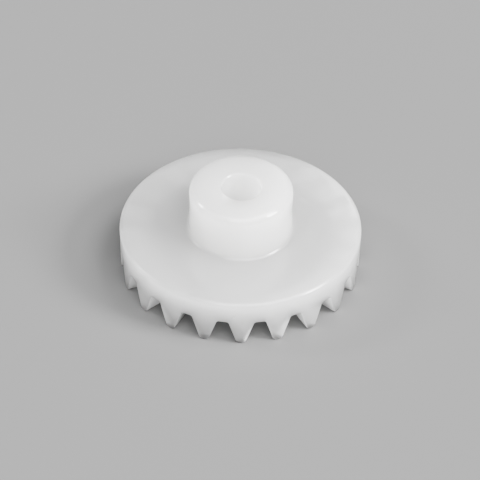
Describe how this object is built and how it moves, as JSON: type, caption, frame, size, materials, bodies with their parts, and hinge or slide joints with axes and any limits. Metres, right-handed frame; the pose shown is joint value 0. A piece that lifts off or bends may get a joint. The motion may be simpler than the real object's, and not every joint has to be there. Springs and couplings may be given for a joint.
{
  "type": "crown gear",
  "caption": "Small moulded plastic crown gear: a disc with teeth under its rim that point along the axis, and a plain hub bored to press on a shaft.",
  "frame": {"origin": "on the bore's axis, in the plane of the tooth tips that the gear stands on", "axes": "+Z along the bore from the teeth towards the hub's end face; one tooth is centred on -Y"},
  "size_m": [0.012, 0.012, 0.0051],
  "materials": {
    "acetal": "natural white acetal, milky and slightly translucent, satin gloss as moulded"
  },
  "bodies": {
    "root": {"crown_gear": "acetal"}
  },
  "joints": []
}
